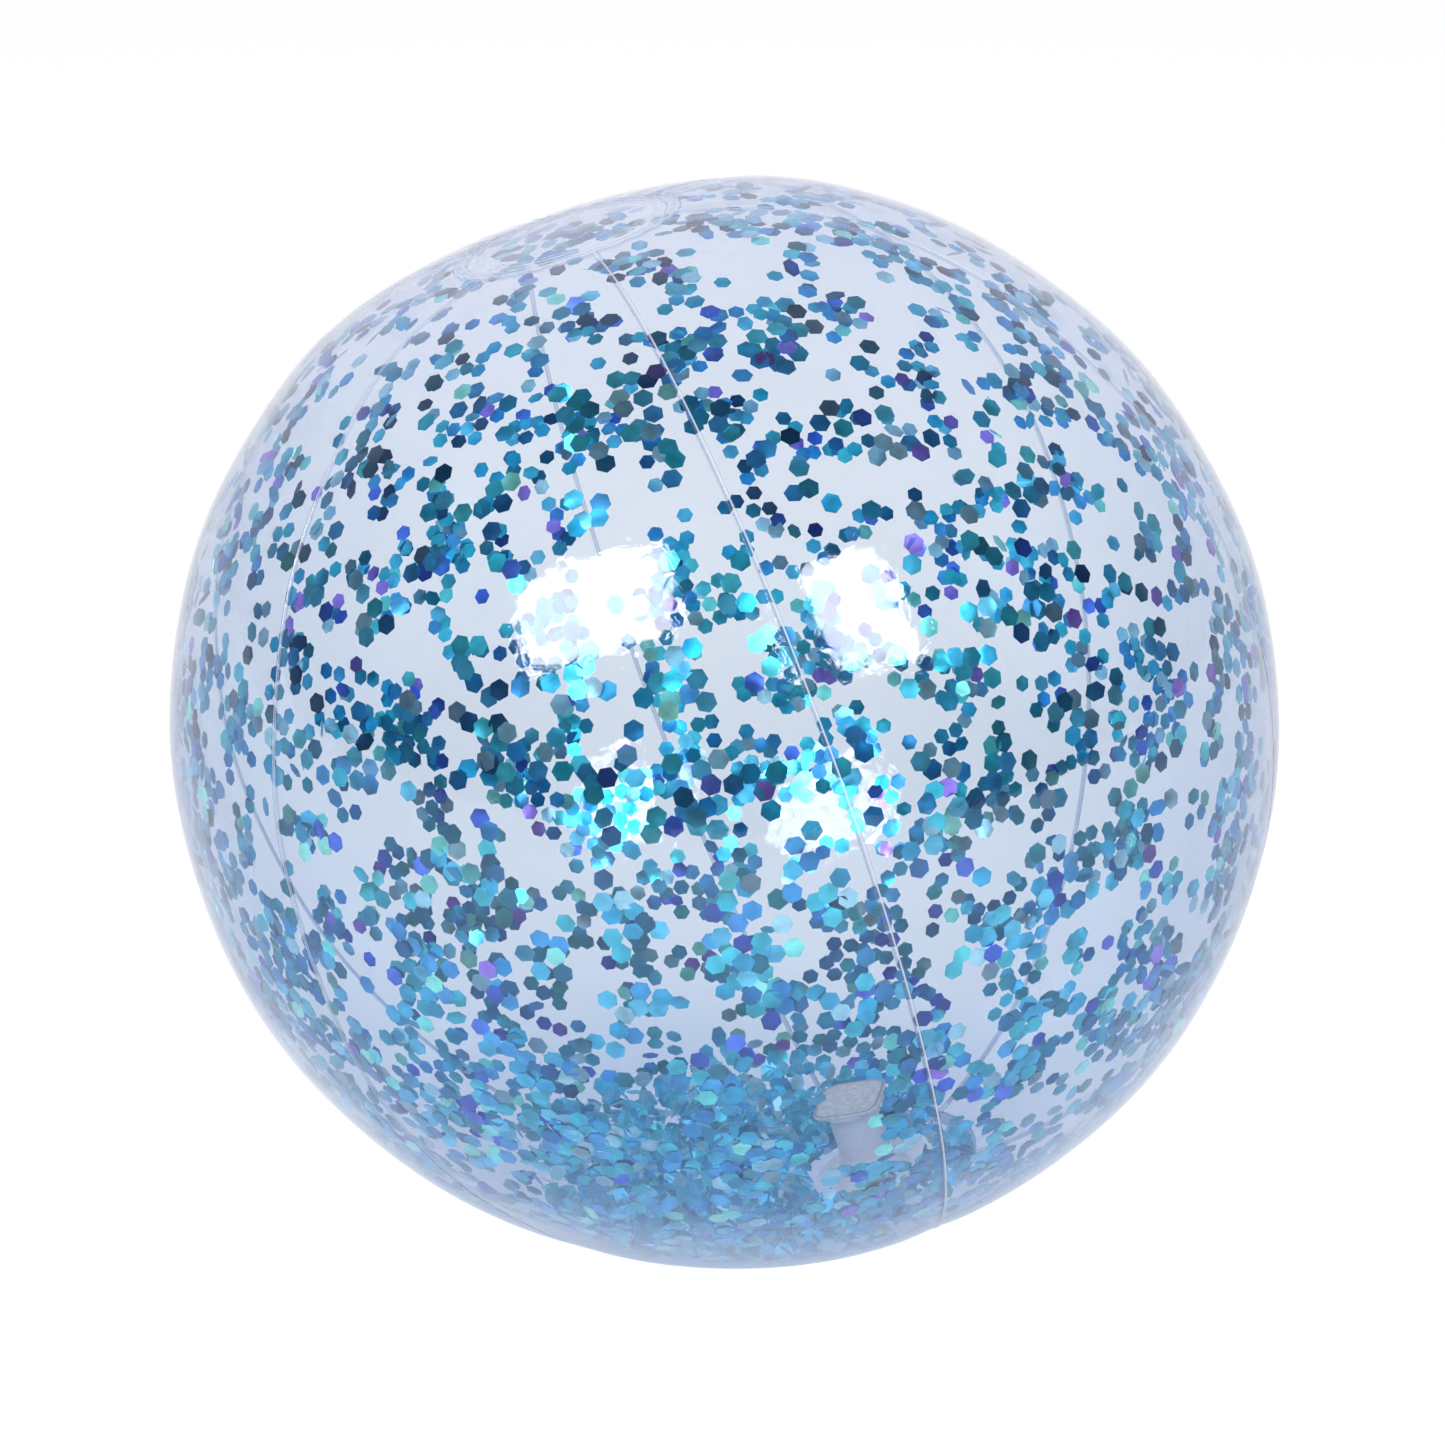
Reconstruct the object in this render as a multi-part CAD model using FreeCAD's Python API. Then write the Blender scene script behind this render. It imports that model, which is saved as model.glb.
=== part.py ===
import FreeCAD, Part
import math
import os
import random

# An inflatable beach ball of clear PVC film with loose hexagon confetti inside. Millimetres.
#
# Two frames are used. The ball frame has its origin at the ball's centre and +Z along the polar
# axis, from the valve's end to the plain end. The part frame stands the ball on the floor, z = 0,
# with the polar axis leaning over towards -X and the origin under the ball's centre.

# film
BALL_RADIUS = 130.0
FILM = 0.3
PANELS = 6
FIRST_SEAM = -75.5  # azimuth of one seam about the polar axis, degrees
SEAM_LAP = 1.6  # width of the weld between two panels
CAP_LAP = 3.5  # width of the weld between a panel and a cap
WELD_ROOT = 1.0  # how far a weld lip runs back under its own panel
CAP_RADIUS = 27.0

# each end is a flat crown, then a shoulder that meets the round body
TOP_POLE = 0.955 * BALL_RADIUS
TOP_CROWN_RADIUS = 2.2 * BALL_RADIUS
TOP_CROWN_REACH = 0.28 * BALL_RADIUS
BOTTOM_POLE = 0.984 * BALL_RADIUS
BOTTOM_CROWN_RADIUS = 1.3 * BALL_RADIUS
BOTTOM_CROWN_REACH = 0.20 * BALL_RADIUS

# stance
LEAN = 17.0  # degrees between the polar axis and the vertical
FLOOR_DENT = 1.6  # how far the floor flattens the film

# valve; its own heights are measured inwards, from the outside of the film at the bottom pole
HOLE_RADIUS = 9.5
FLANGE_RADIUS = 15.0
FLANGE_THICKNESS = 0.8
SKIRT_THICKNESS = 0.6
SKIRT_DEPTH = 8.0
SKIRT_GAP = 0.35  # between the skirt and the stem above their joint
STEM_RADIUS = 6.5
BORE_RADIUS = 4.6
STEM_LENGTH = 22.0
RIM_RADIUS = 11.0
RIM_THICKNESS = 1.2
RIM_LIFT = 0.25  # under the rim, down to the film
SEAT_RADIUS = 8.6  # flat disc on the stem's inner end
SEAT_THICKNESS = 1.2
PLUG_TOP_RADIUS = 4.4
PLUG_TIP_RADIUS = 3.1
PLUG_LENGTH = 4.5
PLUG_HEAD_RADIUS = 6.0
PLUG_HEAD = 1.2
PLUG_PLAY = 0.08
HEAD_GAP = 0.1
STRAP_WIDTH = 4.0
STRAP_THICKNESS = 0.7
STRAP_HINGE = 9.4  # distance from the stem's axis to the strap's hinge line
STRAP_BEAD = 0.6
FLAP_SIZE = 17.0
FLAP_CORNER = 4.0
FLAP_THICKNESS = 0.4
FLAP_GAP = 0.1
FLAP_BEAD = 0.5
FLAP_TURN = -15.0  # how far the flap is turned about the valve's axis
HINGE_PLAY = 0.06

# confetti
FLAKE_FLATS = 4.0
FLAKE_THICKNESS = 0.1
FLAKE_PITCH = 4.9
FLAKE_DEPTH = 2 * FILM + 0.15
FLAKE_CLEARANCE = 0.06
CLUMP_LEVEL = 1.8  # higher leaves fewer flakes
PILE_LAYERS = 3
PILE_LAYER_STEP = 0.35
PILE_RADIUS = 40.0
PILE_OFFSET = 10.0  # towards the valve, where the film's dent is widest
SEED = 12
CLUMP_WAVES = (  # (x, y, z, phase) of the waves that gather the flakes
    (13.1, 4.2, 5.3, 0.6),
    (-6.7, 12.3, 3.1, 2.9),
    (3.9, -8.8, 14.7, 2.0),
)

Z_AXIS = FreeCAD.Vector(0, 0, 1)
FAR = 2.0 * BALL_RADIUS


class Arc:
    """Part of the meridian: centre, radius, and the range of the normal's angle from the pole."""

    def __init__(self, across, up, radius, start, end):
        self.across, self.up, self.radius = across, up, radius
        self.start, self.end = start, end

    def point(self, angle, depth=0.0):
        """(distance from the axis, height) where the normal leans by angle, below the surface."""
        reach = self.radius - depth
        return self.across + reach * math.sin(angle), self.up + reach * math.cos(angle)


def end_arcs(pole, crown_radius, crown_reach):
    """Crown, shoulder and quarter of the round body, tangent to each other, for the +Z end."""
    crown_up = pole - crown_radius
    crown_end = math.asin(crown_reach / crown_radius)
    crown = Arc(0.0, crown_up, crown_radius, 0.0, crown_end)
    across, up = crown.point(crown_end)
    # the shoulder's circle touches the body's circle from inside, which fixes its radius
    lean = across * math.sin(crown_end) + up * math.cos(crown_end)
    radius = (BALL_RADIUS**2 - across**2 - up**2) / (2 * (BALL_RADIUS - lean))
    shoulder_across = across - radius * math.sin(crown_end)
    shoulder_up = up - radius * math.cos(crown_end)
    shoulder_end = math.atan2(shoulder_across, shoulder_up)
    shoulder = Arc(shoulder_across, shoulder_up, radius, crown_end, shoulder_end)
    body = Arc(0.0, 0.0, BALL_RADIUS, shoulder_end, math.pi / 2)
    return [crown, shoulder, body]


TOP_ARCS = end_arcs(TOP_POLE, TOP_CROWN_RADIUS, TOP_CROWN_REACH)
BOTTOM_ARCS = end_arcs(BOTTOM_POLE, BOTTOM_CROWN_RADIUS, BOTTOM_CROWN_REACH)


def lowest_reach():
    """How far below the centre the leaning ball reaches before the floor dents it."""
    angle = math.radians(LEAN)
    for arc in BOTTOM_ARCS:
        if arc.start <= angle <= arc.end:
            across, up = arc.point(angle)
            return across * math.sin(angle) + up * math.cos(angle)


CENTRE_HEIGHT = lowest_reach() - FLOOR_DENT
STANCE = FreeCAD.Placement(
    FreeCAD.Vector(0, 0, CENTRE_HEIGHT),
    FreeCAD.Rotation(FreeCAD.Vector(0, 1, 0), -LEAN),
)


def stand(shape):
    """The shape moved from the ball frame to the part frame."""
    return shape.transformed(STANCE.toMatrix(), copy=True)


def edge(arc, side, depth):
    """One arc of the meridian as an edge in the XZ plane; side is +1 at the top, -1 below."""
    middle = (arc.start + arc.end) / 2
    ends = [arc.point(angle, depth) for angle in (arc.start, middle, arc.end)]
    return Part.Arc(*[FreeCAD.Vector(x, 0, side * z) for x, z in ends]).toShape()


def bulk(depth):
    """Everything inside the ball's outer surface by at least depth, floor dent included."""
    upper = [edge(arc, 1, depth) for arc in TOP_ARCS]
    lower = [edge(arc, -1, depth) for arc in BOTTOM_ARCS]
    heights = [depth - BOTTOM_POLE, TOP_POLE - depth]
    axis = Part.makeLine(*[FreeCAD.Vector(0, 0, height) for height in heights])
    outline = Part.Wire(Part.__sortEdges__(upper + lower + [axis]))
    round_body = Part.Face(outline).revolve(FreeCAD.Vector(), Z_AXIS, 360)
    floor = Part.makeBox(2 * FAR, 2 * FAR, FAR, FreeCAD.Vector(-FAR, -FAR, depth - FAR))
    return stand(Part.Solid(round_body)).cut(floor)


def column(radius, low=-FAR, high=FAR):
    """A round column on the polar axis, in the part frame."""
    return stand(Part.makeCylinder(radius, high - low, FreeCAD.Vector(0, 0, low)))


def turned(shape, azimuth):
    """The shape turned about the polar axis, in the ball frame."""
    turned_shape = shape.copy()
    turned_shape.rotate(FreeCAD.Vector(), Z_AXIS, azimuth)
    return turned_shape


def sector(start, sweep):
    """A wedge about the polar axis, in the part frame."""
    base = FreeCAD.Vector(0, 0, -FAR)
    return stand(turned(Part.makeCylinder(FAR, 2 * FAR, base, Z_AXIS, sweep), start))


def seam_strip(azimuth):
    """The slab that holds one weld: a little before the seam, and the lap after it."""
    width = WELD_ROOT + SEAM_LAP
    slab = Part.makeBox(FAR, width, 2 * FAR, FreeCAD.Vector(0, -WELD_ROOT, -FAR))
    return stand(turned(slab, azimuth))


def film_panels(outer, middle, inner):
    """The gores: outer film, a lip under the next gore, and a lip under each cap."""
    skin = outer.cut(middle)
    under = middle.cut(inner)
    sweep = 360.0 / PANELS
    ring = column(CAP_RADIUS + WELD_ROOT).cut(column(CAP_RADIUS - CAP_LAP))
    between_caps = under.cut(column(CAP_RADIUS + WELD_ROOT + FILM))
    panels = {}
    for index in range(PANELS):
        start = FIRST_SEAM + index * sweep
        wedge = sector(start, sweep)
        face = skin.common(wedge).cut(column(CAP_RADIUS))
        cap_lips = under.common(wedge).common(ring)
        seam_lip = between_caps.common(seam_strip(start + sweep))
        panel = face.fuse([cap_lips, seam_lip]).removeSplitter()
        panels[f"panel_{index + 1}"] = panel
    return panels


def end_caps(outer, middle):
    """The two round discs of film; the bottom one has the valve's hole."""
    skin = outer.cut(middle)
    top = skin.common(column(CAP_RADIUS, 0, FAR))
    bottom = skin.common(column(CAP_RADIUS, -FAR, 0)).cut(column(HOLE_RADIUS, -FAR, 0))
    return {"top_cap": top, "bottom_cap": bottom}


def lathe(points):
    """A ring turned about the polar axis from (radius, height inwards from the pole) corners."""
    corners = [FreeCAD.Vector(r, 0, height - BOTTOM_POLE) for r, height in points]
    outline = Part.makePolygon(corners + corners[:1])
    return Part.Solid(Part.Face(outline).revolve(FreeCAD.Vector(), Z_AXIS, 360))


def rod_across(radius, length, along, height):
    """A round rod square to the valve's axis; along is its distance from that axis."""
    base = FreeCAD.Vector(along, -length / 2, height - BOTTOM_POLE)
    return Part.makeCylinder(radius, length, base, FreeCAD.Vector(0, 1, 0))


def block(start, end, width, low, high):
    """A straight block beside the valve's axis, centred on Y = 0."""
    corner = FreeCAD.Vector(start, -width / 2, low - BOTTOM_POLE)
    return Part.makeBox(end - start, width, high - low, corner)


def valve_flange(middle):
    """The disc welded to the inside of the bottom cap."""
    disc = middle.cut(bulk(FILM + FLANGE_THICKNESS))
    return disc.common(column(FLANGE_RADIUS, -FAR, 0)).cut(column(HOLE_RADIUS, -FAR, 0))


def valve_skirt():
    """The thin web between flange and stem, folded inwards."""
    # the film falls away from the pole's level towards the edge of the hole
    drop = BOTTOM_CROWN_RADIUS - math.sqrt(BOTTOM_CROWN_RADIUS**2 - HOLE_RADIUS**2)
    top = drop + FILM
    inside = STEM_RADIUS + SKIRT_GAP
    points = [
        (HOLE_RADIUS, top),
        (HOLE_RADIUS, top + FLANGE_THICKNESS),
        (inside + SKIRT_THICKNESS, SKIRT_DEPTH),
        (STEM_RADIUS, SKIRT_DEPTH),
        (STEM_RADIUS, SKIRT_DEPTH - SKIRT_THICKNESS),
        (inside, SKIRT_DEPTH - SKIRT_THICKNESS),
        (HOLE_RADIUS - SKIRT_THICKNESS, top + FLANGE_THICKNESS / 4),
        (HOLE_RADIUS - SKIRT_THICKNESS, top),
    ]
    return lathe(points)


RIM_TOP = -RIM_LIFT - RIM_THICKNESS
STRAP_HEIGHT = RIM_TOP - HEAD_GAP - STRAP_THICKNESS / 2
FLAP_FACE = STEM_LENGTH + FLAP_GAP
FLAP_HINGE = FLAP_SIZE / 2 - FLAP_BEAD


def valve_stem():
    """The tube, with a rim outside the ball, a tapered mouth, and a flat seat at the inner end."""
    mouth = PLUG_TOP_RADIUS + PLUG_PLAY
    throat = PLUG_TIP_RADIUS + PLUG_PLAY
    bore_start = RIM_TOP + PLUG_LENGTH + HEAD_GAP
    points = [
        (mouth, RIM_TOP),
        (RIM_RADIUS, RIM_TOP),
        (RIM_RADIUS, -RIM_LIFT),
        (STEM_RADIUS, -RIM_LIFT),
        (STEM_RADIUS, STEM_LENGTH - SEAT_THICKNESS),
        (SEAT_RADIUS, STEM_LENGTH - SEAT_THICKNESS),
        (SEAT_RADIUS, STEM_LENGTH),
        (BORE_RADIUS, STEM_LENGTH),
        (BORE_RADIUS, bore_start + BORE_RADIUS - throat),
        (throat, bore_start),
    ]
    tube = lathe(points)
    strap_groove = rod_across(STRAP_BEAD + HINGE_PLAY, FAR, STRAP_HINGE, STRAP_HEIGHT)
    flap_groove = rod_across(FLAP_BEAD + HINGE_PLAY, FAR, -FLAP_HINGE, FLAP_FACE + FLAP_THICKNESS / 2)
    return stand(tube.cut(strap_groove).cut(turned(flap_groove, FLAP_TURN)))


def valve_plug():
    """The tapered stopper and its round head."""
    points = [
        (0.0, RIM_TOP - HEAD_GAP - PLUG_HEAD),
        (PLUG_HEAD_RADIUS, RIM_TOP - HEAD_GAP - PLUG_HEAD),
        (PLUG_HEAD_RADIUS, RIM_TOP - HEAD_GAP),
        (PLUG_TOP_RADIUS, RIM_TOP - HEAD_GAP),
        (PLUG_TIP_RADIUS, RIM_TOP + PLUG_LENGTH),
        (0.0, RIM_TOP + PLUG_LENGTH),
    ]
    return stand(lathe(points))


def plug_strap():
    """The flat strap from the stopper's head to the round bead that it bends about."""
    low = STRAP_HEIGHT - STRAP_THICKNESS / 2
    high = STRAP_HEIGHT + STRAP_THICKNESS / 2
    band = block(0.0, STRAP_HINGE, STRAP_WIDTH, low, high)
    bead = rod_across(STRAP_BEAD, STRAP_WIDTH, STRAP_HINGE, STRAP_HEIGHT)
    head = Part.makeCylinder(PLUG_HEAD_RADIUS, FAR, FreeCAD.Vector(0, 0, -FAR))
    return stand(band.fuse(bead).removeSplitter().cut(head))


def check_flap():
    """The rounded square of film that closes the stem's inner end, with a bead along one side."""
    half = FLAP_SIZE / 2
    square = block(-half, half, FLAP_SIZE, FLAP_FACE, FLAP_FACE + FLAP_THICKNESS)
    upright = [corner for corner in square.Edges if abs(corner.tangentAt(0).z) > 0.9]
    film = square.makeFillet(FLAP_CORNER, upright)
    bead_length = FLAP_SIZE - 2 * FLAP_CORNER
    bead = rod_across(FLAP_BEAD, bead_length, -FLAP_HINGE, FLAP_FACE + FLAP_THICKNESS / 2)
    return stand(turned(film.fuse(bead).removeSplitter(), FLAP_TURN))


def wall_point(normal, depth):
    """The point below the ball's surface where the outward normal is the given unit vector."""
    side = 1 if normal.z >= 0 else -1
    angle = math.acos(min(1.0, abs(normal.z)))
    arcs = TOP_ARCS if side > 0 else BOTTOM_ARCS
    arc = next(arc for arc in arcs if angle <= arc.end + 1e-9)
    across, up = arc.point(angle, depth)
    azimuth = math.atan2(normal.y, normal.x)
    return FreeCAD.Vector(across * math.cos(azimuth), across * math.sin(azimuth), side * up)


def wall_depth(point):
    """How far a point in the ball frame lies below the ball's surface."""
    across, up = math.hypot(point.x, point.y), abs(point.z)
    for arc in TOP_ARCS if point.z >= 0 else BOTTOM_ARCS:
        if math.atan2(across - arc.across, up - arc.up) <= arc.end + 1e-9:
            return arc.radius - math.hypot(across - arc.across, up - arc.up)


def even_normals(count):
    """Unit vectors spread evenly over the sphere in one long spiral."""
    golden = math.pi * (3 - math.sqrt(5))
    for index in range(count):
        z = 1 - (2 * index + 1) / count
        reach = math.sqrt(1 - z * z)
        yield FreeCAD.Vector(reach * math.cos(index * golden), reach * math.sin(index * golden), z)


def clumping(normal):
    """A smooth uneven field over the sphere; flakes gather where it is high."""
    total = 0.0
    for x, y, z, phase in CLUMP_WAVES:
        total += math.sin(x * normal.x + y * normal.y + z * normal.z + phase)
    return total


def flake(centre, normal, spin):
    """One hexagon in the part frame, its face square to normal, and its outer corners."""
    corner_radius = FLAKE_FLATS / math.sqrt(3)
    aside = normal.cross(FreeCAD.Vector(0.3, 0.9, 0.2)).normalize()
    across = normal.cross(aside)
    corners = []
    for step in range(6):
        angle = spin + step * math.pi / 3
        reach = aside * math.cos(angle) + across * math.sin(angle)
        corners.append(centre + reach * corner_radius)
    hexagon = Part.Face(Part.makePolygon(corners + corners[:1]))
    return hexagon.extrude(normal * -FLAKE_THICKNESS), corners


def is_clear(corners):
    """Whether a flake's outer corners are all clear of the film's inner side and the floor dent."""
    back = STANCE.inverse()
    level = 2 * FILM + FLAKE_CLEARANCE
    for corner in corners:
        if corner.z < level or wall_depth(back.multVec(corner)) < level:
            return False
    return True


def confetti():
    """The flakes, grouped by what they lie on. Those in one layer stay clear of each other."""
    dice = random.Random(SEED)
    count = int((3.09 * BALL_RADIUS / FLAKE_PITCH) ** 2)
    pile_centre = FreeCAD.Vector(PILE_OFFSET, 0, 0)
    groups = {}
    for layer in range(PILE_LAYERS):
        depth = FLAKE_DEPTH + layer * PILE_LAYER_STEP
        placed = []
        for normal in even_normals(count):
            local = turned_vector(normal, layer)
            centre = wall_point(local, depth)
            stood = STANCE.multVec(centre)
            facing = STANCE.Rotation.multVec(local)
            if stood.z < depth:
                stood.z = depth
                facing = -Z_AXIS
            off_pile = (FreeCAD.Vector(stood.x, stood.y, 0) - pile_centre).Length
            in_pile = stood.z < BALL_RADIUS / 8 and off_pile < PILE_RADIUS - 6 * layer
            on_valve = centre.z < 0 and math.hypot(centre.x, centre.y) < FLANGE_RADIUS + FLAKE_FLATS
            on_cap = centre.z > 0 and math.hypot(centre.x, centre.y) < CAP_RADIUS
            clumped = on_cap or clumping(local) > CLUMP_LEVEL
            wanted = in_pile or (layer == 0 and clumped)
            if on_valve or not wanted or any(near(stood, other) for other in placed):
                continue
            solid, corners = flake(stood, facing, dice.uniform(0, math.pi))
            if not is_clear(corners):
                continue
            placed.append(stood)
            groups.setdefault(group_name(centre, in_pile, on_cap), []).append(solid)
    return {name: Part.makeCompound(solids) for name, solids in groups.items()}


def turned_vector(vector, layer):
    """The vector turned about the polar axis, so that the pile's layers don't line up."""
    return FreeCAD.Rotation(Z_AXIS, 31.0 * layer).multVec(vector)


def near(point, other):
    """Whether two flakes in one layer would touch."""
    return (point - other).Length < 1.19 * FLAKE_FLATS


def group_name(centre, in_pile, on_cap):
    """The node that a flake belongs to."""
    if in_pile:
        return "glitter_pile"
    if on_cap:
        return "glitter_top_cap"
    azimuth = math.degrees(math.atan2(centre.y, centre.x)) - FIRST_SEAM
    return f"glitter_panel_{int(azimuth % 360 // (360 / PANELS)) + 1}"


def main():
    os.makedirs("parts", exist_ok=True)
    outer, middle, inner = (bulk(FILM * layer) for layer in range(3))
    nodes = {
        **film_panels(outer, middle, inner),
        **end_caps(outer, middle),
        "valve_flange": valve_flange(middle),
        "valve_skirt": stand(valve_skirt()),
        "valve_stem": valve_stem(),
        "valve_plug": valve_plug(),
        "plug_strap": plug_strap(),
        "check_flap": check_flap(),
        **confetti(),
    }
    for name, shape in nodes.items():
        print(f"{name}: {len(shape.Solids)} solids, {shape.Volume:.1f} mm3, valid {shape.isValid()}")
        shape.exportStep(f"parts/{name}.step")


main()
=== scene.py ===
"""A clear lavender beach ball with loose hexagonal confetti inside and a valve in its lower cap."""

import math

import bpy
import numpy as np
from mathutils import Matrix, Vector


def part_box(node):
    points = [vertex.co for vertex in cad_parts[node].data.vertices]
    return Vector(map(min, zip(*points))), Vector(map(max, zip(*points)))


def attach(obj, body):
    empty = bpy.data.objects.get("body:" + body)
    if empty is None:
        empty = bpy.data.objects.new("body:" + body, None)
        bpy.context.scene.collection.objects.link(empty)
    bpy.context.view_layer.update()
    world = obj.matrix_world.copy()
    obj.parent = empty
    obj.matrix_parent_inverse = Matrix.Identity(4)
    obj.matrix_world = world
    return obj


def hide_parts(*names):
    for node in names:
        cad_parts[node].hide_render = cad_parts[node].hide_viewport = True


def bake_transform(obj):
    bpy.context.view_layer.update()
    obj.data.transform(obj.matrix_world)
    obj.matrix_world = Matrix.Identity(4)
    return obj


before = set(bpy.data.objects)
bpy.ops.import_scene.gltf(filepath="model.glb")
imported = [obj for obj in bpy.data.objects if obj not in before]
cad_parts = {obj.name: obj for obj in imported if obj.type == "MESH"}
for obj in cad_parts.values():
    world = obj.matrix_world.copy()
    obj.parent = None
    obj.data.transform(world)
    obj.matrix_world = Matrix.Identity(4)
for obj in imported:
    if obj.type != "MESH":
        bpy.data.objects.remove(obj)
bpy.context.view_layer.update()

MM = 0.001

# ---- The ball's film, as in the CAD model: lengths in metres, the seams' turns in degrees ----
BALL_RADIUS = 130 * MM
FILM = 0.3 * MM
PANELS = 6
PANEL_TURN = 360 / PANELS
FIRST_SEAM = -75.5
CAP_RADIUS = 27 * MM
TOP_POLE = 0.955 * BALL_RADIUS
TOP_CROWN_RADIUS = 2.2 * BALL_RADIUS
TOP_CROWN_REACH = 0.28 * BALL_RADIUS
BOTTOM_POLE = 0.984 * BALL_RADIUS
BOTTOM_CROWN_RADIUS = 1.3 * BALL_RADIUS
BOTTOM_CROWN_REACH = 0.20 * BALL_RADIUS
LEAN = math.radians(17)
FLOOR_DENT = 1.6 * MM
HOLE_RADIUS = 9.5 * MM
FLANGE_RADIUS = 15 * MM
ARC_STEPS = 400  # points along each arc of the meridian

# ---- The valve's skirt ----
SKIRT_WALL = 0.5 * MM
SKIRT_ROOT = (9.5 * MM, 0.2 * MM)  # from the valve's axis, and inwards from the film's inner face
SKIRT_TIP = (6.9 * MM, 8.0 * MM)  # from the valve's axis, and inwards from the outside of the lower pole
SKIRT_WAIST = 0.35 * MM  # how far the web draws in halfway along
SKIRT_ROWS = 14
SKIRT_COLUMNS = 72

# ---- The valve's flap ----
FLAP_SIZE = 17 * MM
FLAP_FACE = 22.1 * MM  # inwards from the outside of the lower pole
FLAP_THICKNESS = 0.35 * MM
FLAP_BORDER = 0.3 * MM
FLAP_BORDER_AT = 0.94  # share of the way out from the middle
FLAP_BORDER_REACH = 0.055
FLAP_GRAIN = 0.035 * MM
FLAP_GRAIN_PITCH = 4200  # radians in a metre
FLAP_SQUARENESS = 5.0
FLAP_TURN = math.radians(-15)
FLAP_STEPS = 120
FLAP_FACE_SHARES = np.linspace(0.02, 0.86, 24)
FLAP_BORDER_SHARES = np.array([0.88, 0.90, 0.93, 0.96, 0.985, 1.0])

# ---- Welds ----
LAP = 1.2 * MM  # the second layer of film under a seam
LAP_ROOT = 0.1 * MM  # how far that layer starts back under its own sheet
CAP_LAP = 3.5 * MM  # the second layer under a cap's rim
LAP_END = 0.001  # radians left free at each end of a cap's lap
HAIR_GAP = 0.01 * MM  # keeps two films that touch from sharing a surface
WELD_RIDGE = 0.2 * MM
SEAM_RIDGE_AT = 0.75 * MM
SEAM_RIDGE_WIDTH = 0.45 * MM
SEAM_GREY_AT = 0.2 * MM
SEAM_GREY_WIDTH = 0.3 * MM
# The fine columns of points along a seam, from the panel's edge.
SEAM_COLUMNS = np.array([0.01, 0.1, 0.2, 0.3, 0.4, 0.5, 0.6, 0.75, 0.9, 1.0, 1.1, 1.6]) * MM
PANEL_COLUMNS = 24
PANEL_ROWS = 100
LAP_RINGS = 5
LAP_COLUMNS = 22
# Each line round a cap is its distance from the cap's middle and its width.
CAP_RIDGES = ((26.4 * MM, 0.8 * MM), (24.4 * MM, 0.7 * MM), (21.9 * MM, 0.7 * MM), (19.9 * MM, 0.5 * MM))
CAP_GREY_LINES = ((26.9 * MM, 0.3 * MM), (23.7 * MM, 0.3 * MM), (21.3 * MM, 0.3 * MM))
CAP_FINE_RINGS = np.arange(19.2, 27.0, 0.12) * MM
CAP_COARSE_RINGS = 14
CAP_COLUMNS = 144
CLEAN_BAND = (19 * MM, 29 * MM)  # no flakes stick here
CAP_HAZE = 0.16
CAP_HAZE_FADE = 1.5 * MM

# ---- Slack in the film ----
SEAM_VALLEY = 0.45 * MM
SEAM_VALLEY_WIDTH = 5 * MM
DIAGONAL_SWELL = 1.2 * MM
DIAGONAL = np.array([-0.88, -0.17, 0.44])
RIPPLES = 7
RIPPLE_LENGTHS = (34, 80)  # mm
RIPPLE_HEIGHT = 0.08 * MM
PUCKERS = 30
PUCKER_HEIGHT = 0.16 * MM
PUCKER_REACH = 16 * MM
VALLEY_FADE = 20 * MM  # the valleys along the seams fade in over this distance from a cap
VALVE_FADE = 14 * MM  # the film lies plain at the valve and slack beyond this distance from it

# ---- Confetti ----
FLAKE_FLATS = 4.0 * MM
FLAKE_THICKNESS = 0.1 * MM
FLAKE_DISH = 0.07 * MM
FLAKE_POINTS = 14
FLAKE_DEPTH = 2 * FILM + 0.12 * MM
CLUMPS = 1500
CLUMP_SCATTER = 0.06  # radians
CLUMP_HEIGHTS = (0.02, 0.07, 0.12, 0.19, 0.25)  # metres above the table
CLUMP_SIZES = (4.4, 4.2, 3.2, 1.9, 1.8)  # mean number of flakes beyond the first, at each of those heights
LARGEST_CLUMP = 22
TRIES_PER_FLAKE = 12
CLUMP_STRIDE = (0.74, 1.45)  # in flakes' widths, from one middle to the next
CLUMP_GAP = 0.72  # in flakes' widths, the least between two middles
LAYERS = 6
LAYER_STEP = 0.13 * MM
LIE = 3.5  # degrees that a flake stuck to the film leans
LOOSE_SHARE = 0.22
LOOSE_LEAN = 5  # times as far as the others
LEAN_ROOM = 0.55  # in flakes' widths, how far inwards a flake that stands on edge is moved
BARE_PATCH = np.array([20, -122, -39]) * MM
BARE_REACH = 16 * MM
BARE_SHARE = 0.9
VALVE_MARGIN = 3 * MM
# Painted light: flakes near the table never take the darkest glint, standing in for the white table that
# they mirror.
LOW_GLINT = 0.35  # the least glint of a flake near the table
LOW_GLINT_HEIGHTS = (0.03, 0.15)
PILE_FLAKES = 2400
PILE_SPREAD = 0.42  # radians round the pile's middle
PILE_COVERS = 0.37  # radians within which no flake lies on the film
PILE_DEPTH = 3 * MM
PILE_LEAN = (15, 75)  # degrees
PILE_VALVE_MARGIN = 2 * MM
PILE_TONES = (0.2, 0.74)
PILE_GLINTS = (0.25, 0.65)
HEAP_RIM = 0.3 * MM  # the least depth of a heap
HEAP_RAGGED = (0.75, 1.1)  # how unevenly its rim is drawn
SIDE_HEAP = {"middle": (54 * MM, -6 * MM, -118 * MM), "count": 90, "spread": 0.08, "depth": 4 * MM}

rng = np.random.default_rng(12)


# ---------------------------------------------------------------- the film's shape


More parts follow.
